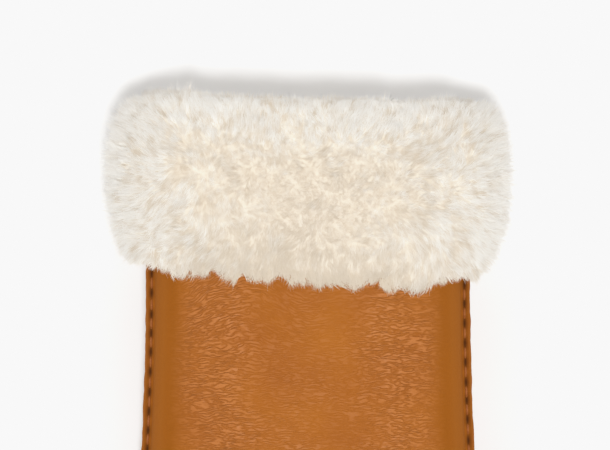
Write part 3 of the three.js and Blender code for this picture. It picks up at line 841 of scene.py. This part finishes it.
def lip_strands(material, amount):
    """Fibres on the lip, from the cuff's pile over the leather's edge to the lining."""
    random = np.random.default_rng(SEED + 6)
    around = random.uniform(0, 2 * math.pi, amount)
    last = np.full(amount, FUR_PROFILE[-1, 0])
    outer = fur_surface(last, around)
    outer[:, 1] += lip_shift(outer[:, 0], last)
    turns = np.linspace(0, 2 * math.pi, 721)
    ring = lining_section(turns, MOUTH_Y - 2.0, 0.6)
    inner = np.stack([np.interp(around, turns, ring[:, axis]) for axis in range(3)], -1)
    across = random.uniform(-0.2, 1, amount)[:, None]
    roots = outer + (inner - outer) * across
    roots[:, 1] = outer[:, 1] - 1.6 - 2.4 * across[:, 0] ** 2
    sway = np.stack([noise(roots, 6.0, 95 + k) for k in range(3)], -1) + random.normal(0, 0.3, (amount, 3))
    outward = unit(outer - inner)
    tips = roots + np.array([0, 3.2, 0]) + (0.7 - 1.6 * across) * outward + 1.2 * sway
    soft = unit(np.array([0, 0.8, 0.45]) + 0.4 * outward + 0.2 * sway)
    shade = 0.5 + 0.4 * noise(roots, 4.0, 99) + random.uniform(0, 0.2, amount)
    strands_piece("lip_wool_strands", roots, tips, soft, shade, random, material)


def lining_piece(name, node, material):
    """The lining's pile: the solid's own shape, matted and lumpy."""
    source = bpy.data.objects[node]
    shape = bmesh.new()
    shape.from_mesh(source.data)
    bmesh.ops.remove_doubles(shape, verts=shape.verts, dist=1e-6)
    for _ in range(2):
        long_edges = [edge for edge in shape.edges if edge.calc_length() > 3.0 * MM]
        bmesh.ops.subdivide_edges(shape, edges=long_edges, cuts=1)
        bmesh.ops.triangulate(shape, faces=shape.faces)
    shape.normal_update()
    points = np.array([vert.co for vert in shape.verts]) / MM
    normals = np.array([vert.normal for vert in shape.verts])
    shrink = 0.45 - 0.35 * noise(points, 5.0, 81) - 0.2 * noise(points, 2.2, 82)
    points -= normals * np.clip(shrink, 0.05, 0.9)[:, None]
    faces = [[vert.index for vert in face.verts] for face in shape.faces]
    shape.free()
    return make_piece(name, points, faces, material, [node],
                      {"tip": np.full(len(points), 0.35), "lock": np.full(len(points), 0.5)})


def lining_strands(material, amount):
    """Fibres of the lining that show through the mouth."""
    random = np.random.default_rng(SEED + 9)
    reach = 46.0
    depth = random.uniform(0, 1, amount) ** 1.4 * reach
    y = MOUTH_Y + 2.5 - depth
    roots = lining_section(random.uniform(0, 2 * math.pi, amount), y, 1.2)
    x, z = roots[:, 0], roots[:, 2]
    inward = unit(np.stack([-x * 0.35, np.zeros(amount), placed(SEAM, y) - z], -1))
    sway = np.stack([noise(roots, 7.0, 91 + k) for k in range(3)], -1)
    lean = sway * 0.9 + np.array([0, 0.8, 0]) * (1 - depth / reach)[:, None]
    tips = roots + inward * random.uniform(1.6, 3.2, amount)[:, None] + lean * 2.4
    shade = random.uniform(0, 1, amount)
    strands_piece("lining_wool_strands", roots, tips, inward, shade, random, material)


# Materials

def linear(hex_colour):
    """Linear RGBA from an sRGB hex colour."""
    parts = [int(hex_colour[k:k + 2], 16) / 255 for k in (0, 2, 4)]
    return (*[c / 12.92 if c <= 0.04045 else ((c + 0.055) / 1.055) ** 2.4 for c in parts], 1.0)


def feed(tree, node, values):
    """Sets the node's inputs, each to a value or to another node's socket."""
    for key, value in values.items():
        if isinstance(value, bpy.types.NodeSocket):
            tree.links.new(value, node.inputs[key])
        else:
            node.inputs[key].default_value = value
    return node


def add_node(tree, kind, values=None, **settings):
    node = tree.nodes.new(kind)
    for key, value in settings.items():
        setattr(node, key, value)
    return feed(tree, node, values or {})


def new_material(name):
    material = bpy.data.materials.new(name)
    material.use_nodes = True
    tree = material.node_tree
    return material, tree, tree.nodes["Principled BSDF"]


def attribute(tree, name):
    return add_node(tree, "ShaderNodeAttribute", attribute_name=name).outputs["Fac"]


def noisy(tree, place, size, detail, roughness=0.5):
    """Noise with bumps of that size in metres."""
    values = {"Vector": place, "Scale": 1 / size, "Detail": detail, "Roughness": roughness}
    return add_node(tree, "ShaderNodeTexNoise", values).outputs


def ranged(tree, value, low, high, at_low=0.0, at_high=1.0):
    values = {"Value": value, "From Min": low, "From Max": high, "To Min": at_low, "To Max": at_high}
    return add_node(tree, "ShaderNodeMapRange", values).outputs["Result"]


def blended(tree, factor, one, two, way="MIX"):
    values = {0: factor, 6: one, 7: two}
    return add_node(tree, "ShaderNodeMix", values, data_type="RGBA", blend_type=way).outputs[2]


def maths(tree, operation, *values, kind="ShaderNodeMath"):
    return add_node(tree, kind, dict(enumerate(values)), operation=operation).outputs[0]


def vector_maths(tree, operation, *values):
    return maths(tree, operation, *values, kind="ShaderNodeVectorMath")


def bumped(tree, height, strength, distance, **under):
    """Normal of a surface with those heights; under may name the Normal that they stand on."""
    values = {"Height": height, "Strength": strength, "Distance": distance, **under}
    return add_node(tree, "ShaderNodeBump", values).outputs[0]


def ramp(tree, factor, stops):
    """Colour by the factor; stops are pairs of a place and an sRGB hex colour."""
    node = add_node(tree, "ShaderNodeValToRGB", {"Fac": factor})
    elements = node.color_ramp.elements
    while len(elements) < len(stops):
        elements.new(0.5)
    for element, (place, colour) in zip(elements, stops):
        element.position = place
        element.color = linear(colour)
    return node.outputs["Color"]


def drum_milled_nappa():
    """Aniline-dyed sheepskin nappa, drum-milled: soft, satin, with a fine pebble grain and short creases."""
    material, tree, shader = new_material("drum_milled_nappa_leather")
    place = add_node(tree, "ShaderNodeTexCoord").outputs["Object"]
    edge, pit, folds, drape = (attribute(tree, name) for name in ("edge", "pit", "creased", "drape"))

    # dye that lies a little unevenly over some 20 mm
    cloudy = noisy(tree, place, 0.022, 4.0)["Fac"]
    body = ramp(tree, cloudy, [(0.3, "854705"), (0.5, "8B4C06"), (0.72, "925208")])
    # the smooth, steep band along the seam is painted darker: painted shade on its steep sides
    band = ranged(tree, edge, 9.5, 18.0, 0.9, 0.0)
    painted_side_shade = ramp(tree, ranged(tree, edge, 4.0, 12.0),
                    [(0.0, "854C14"), (0.3, "864D15"), (0.55, "83490E"), (0.75, "804709")])
    banded = blended(tree, band, body, painted_side_shade)
    # the cut edge is paler, and the strip between it and the stitches is darker
    near_seam = ranged(tree, edge, 3.0, 4.6, 1.0, 0.0)
    seam_tone = ramp(tree, ranged(tree, edge, 0.0, 4.0),
                     [(0.0, "925C2A"), (0.07, "834C18"), (0.24, "7A430E"), (0.44, "8C5014"), (0.58, "8C5014"),
                      (0.75, "874C12"), (1.0, "874E14")])
    seamed = blended(tree, near_seam, banded, seam_tone)
    # the pits where the thread dives are painted near black: painted shade in the holes
    colour = blended(tree, pit, seamed, linear("381A06"))

    # pebble grain, cells about 0.9 mm
    grain = add_node(tree, "ShaderNodeTexVoronoi", {"Vector": place, "Scale": 1 / 0.0009}, feature="SMOOTH_F1")
    pebbled = bumped(tree, grain.outputs["Distance"], 0.5, 0.0002)
    # fine wavy creases across the hand, thin lines about 0.9 mm apart
    warp = noisy(tree, place, 0.007, 2.0)["Color"]
    moved = vector_maths(tree, "MULTIPLY", warp, (0.003, 0.003, 0.003))
    wavy = vector_maths(tree, "ADD", place, moved)
    fanned = add_node(tree, "ShaderNodeCombineXYZ", {"Y": drape}).outputs[0]
    bent = vector_maths(tree, "ADD", wavy, fanned)
    long_way = add_node(tree, "ShaderNodeMapping", {"Vector": bent, "Scale": (0.22, 1.0, 0.22)}).outputs[0]
    wave = noisy(tree, long_way, 0.00085, 1.0, 0.55)["Fac"]
    slope = maths(tree, "ABSOLUTE", maths(tree, "SUBTRACT", wave, 0.5))
    crease = maths(tree, "MULTIPLY", ranged(tree, slope, 0.0, 0.13), folds)
    folded = bumped(tree, crease, 1.0, 0.00023, Normal=pebbled)
    # the creased shoulders and the crease ridges are painted lighter, a painted highlight, and the lines
    # between them darker, a painted shade
    painted_shoulder_light = maths(tree, "MULTIPLY", folds, 0.27)
    painted_ridge_light = maths(tree, "MULTIPLY_ADD", crease, 0.38, painted_shoulder_light)
    with_painted_highlight = blended(tree, painted_ridge_light, colour, linear("AD6C3C"))
    painted_crease_shade = maths(tree, "MULTIPLY", maths(tree, "SUBTRACT", folds, crease), 0.32)
    with_painted_crease_shade = blended(tree, painted_crease_shade, with_painted_highlight, linear("7A410A"))
    gloss = ranged(tree, crease, 0.0, 1.0, 0.55, 0.42)
    dull = maths(tree, "MULTIPLY_ADD", band, 0.3, gloss)
    feed(tree, shader, {"Base Color": with_painted_crease_shade, "Normal": folded, "Roughness": dull, "IOR": 1.5,
                        "Specular IOR Level": 0.1})
    return material


def waxed_linen_thread():
    """Thick waxed thread, dark brown, with fine lighter and darker patches."""
    material, tree, shader = new_material("waxed_linen_thread")
    place = add_node(tree, "ShaderNodeTexCoord").outputs["Object"]
    ply = noisy(tree, place, 0.0006, 2.0)["Fac"]
    feed(tree, shader, {"Base Color": ramp(tree, ply, [(0.3, "7A4218"), (0.7, "8E5428")]),
                        "Normal": bumped(tree, ply, 0.5, 0.0002), "Roughness": 0.6, "Specular IOR Level": 0.2})
    return material


def lambswool():
    """Combed sheepskin wool, undyed: creamy at the root and almost white at the tips."""
    material, tree, shader = new_material("lambswool_pile")
    # the tip attribute runs from root to tip; its darkest stops colour the ground's partings, a painted shade
    along = ramp(tree, attribute(tree, "tip"), [(0.0, "B9A98E"), (0.25, "D2C6B2"), (0.5, "E4DCCF"),
                                                (0.8, "F1ECE4"), (1.0, "F9F7F3")])
    # the lock attribute carries each strand's own tone together with the painted light and shade of the cuff's
    # strands
    tone_and_painted_light = ramp(tree, attribute(tree, "lock"), [(0.0, "DED3C4"), (0.6, "F2EFEA"), (1.0, "FBFCFC")])
    feed(tree, shader, {"Base Color": blended(tree, 1.0, along, tone_and_painted_light, "MULTIPLY"), "Roughness": 0.85,
                        "Specular IOR Level": 0.25, "Sheen Weight": 0.35, "Sheen Roughness": 0.5})
    return material


def paper_floor():
    """Matt white paper sweep."""
    material, tree, shader = new_material("white_paper")
    feed(tree, shader, {"Base Color": linear("E0E0E0"), "Roughness": 1.0, "Specular IOR Level": 0.0})
    return material


# The scene

def soft_light(name, toward, strength, spread, colour="FFFFFF", shadow=True):
    """Broad, even light that comes from far off in the direction toward; spread is its angle in degrees."""
    light = bpy.data.lights.new(name, "SUN")
    light.energy = strength
    light.angle = math.radians(spread)
    light.color = linear(colour)[:3]
    light.use_shadow = shadow
    lamp = bpy.data.objects.new(name, light)
    lamp.rotation_euler = Vector(toward).to_track_quat("Z", "Y").to_euler()
    bpy.context.scene.collection.objects.link(lamp)


def stage():
    bpy.ops.mesh.primitive_plane_add(size=4.0, location=(0, 0, 0))
    floor = bpy.context.object
    floor.name = "paper_floor"
    floor.data.materials.append(paper_floor())
    floor.select_set(False)

    # photograph: 610 by 450, 0.338 mm a pixel at the height of the seam, seen from straight above
    scale = 0.338 * MM
    middle = (-3 * scale, (HEM_Y * MM) + 60 * scale)
    height = 1.6
    camera = bpy.data.cameras.new("camera")
    camera.sensor_width = 36.0
    camera.lens = 36.0 * (height - WRIST_SEAM * MM) / (610 * scale)
    viewer = bpy.data.objects.new("camera", camera)
    viewer.location = (*middle, height)
    bpy.context.scene.collection.objects.link(viewer)
    bpy.context.scene.camera = viewer

    world = bpy.data.worlds.new("studio")
    world.use_nodes = True
    background = world.node_tree.nodes["Background"]
    background.inputs["Color"].default_value = linear("FFFAF5")
    background.inputs["Strength"].default_value = 0.4
    bpy.context.scene.world = world
    soft_light("overhead_softbox", (0.03, -0.19, 1.0), 2.2, 9)
    # large reflectors close by: they model the form but throw no shadow that the eye could find
    soft_light("key_lower_right", (0.35, -0.85, 0.8), 0.3, 35, "FFFAF2", shadow=False)
    soft_light("left_softbox", (-0.95, 0.1, 0.55), 1.05, 45, shadow=False)
    soft_light("right_softbox", (0.95, 0.1, 0.55), 0.95, 45, shadow=False)
    soft_light("rear_reflector", (-0.1, 0.95, 0.6), 0.3, 45, shadow=False)
    settings = bpy.context.scene.view_settings
    settings.view_transform = "Standard"
    settings.look = "None"
    # the sweep is exposed to an even, nearly full white
    settings.use_curve_mapping = True
    curve = settings.curve_mapping.curves[3]
    curve.points[-1].location = (1.0, 0.939)
    curve.points.new(0.8, 0.8)
    settings.curve_mapping.extend = "HORIZONTAL"
    settings.curve_mapping.update()


leather = drum_milled_nappa()
thread = waxed_linen_thread()
wool = lambswool()
leather_piece("back_leather", 1.0, True, 101, leather, "back_panel")
leather_piece("palm_leather", 0.62, False, 102, leather, "palm_panel")
thread_piece("back_stitches", True, thread)
thread_piece("palm_stitches", False, thread)
wool_core(wool)
cuff_wool(wool, 156000, 4)
hem_wisps(wool, 1.9, 24)
lining_piece("lining_back_wool", "lining_back", wool)
lining_piece("lining_palm_wool", "lining_palm", wool)
lip_strands(wool, 14000)
lining_strands(wool, 10000)
stage()
